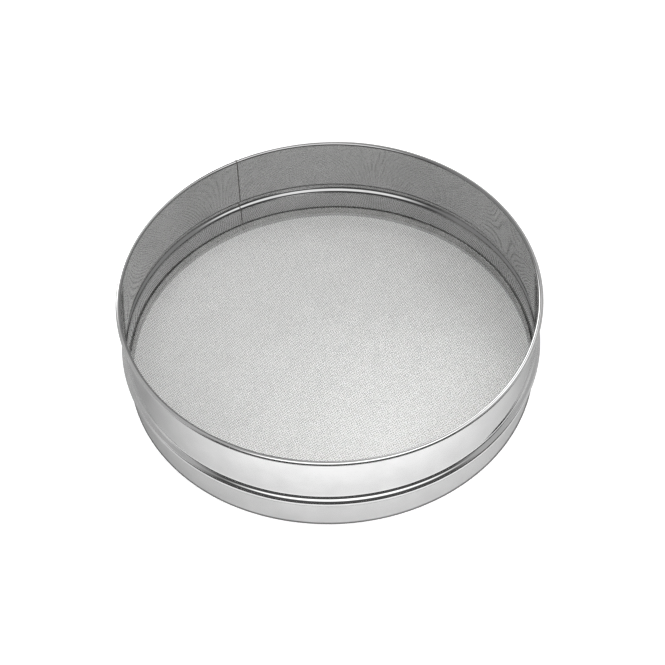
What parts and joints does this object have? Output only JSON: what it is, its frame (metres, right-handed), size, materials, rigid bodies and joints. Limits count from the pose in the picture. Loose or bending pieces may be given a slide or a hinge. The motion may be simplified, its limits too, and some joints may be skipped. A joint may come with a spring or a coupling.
{
  "type": "tamis drum sieve",
  "caption": "Low round drum sieve: a rolled steel hoop with a beaded wall and fine woven wire cloth clamped near its lower edge.",
  "frame": {"origin": "centre of the circle that the drum's lower edge rests on", "axes": "+Z along the drum's axis, from the lower edge towards the rolled rim"},
  "size_m": [0.3, 0.3, 0.076],
  "materials": {
    "band_steel": "bright rolled stainless steel",
    "weld_steel": "dull dark weld line",
    "wire_steel": "drawn stainless wire",
    "hoop_steel": "rolled stainless strip",
    "cloth_steel": "bright woven stainless wire"
  },
  "bodies": {
    "root": {"drum_band": "band_steel", "seam_weld": "weld_steel", "rim_wire": "wire_steel", "clamp_hoop": "hoop_steel", "cloth_skirt": "cloth_steel", "warp_wires": "cloth_steel", "weft_wires": "cloth_steel"}
  },
  "joints": []
}
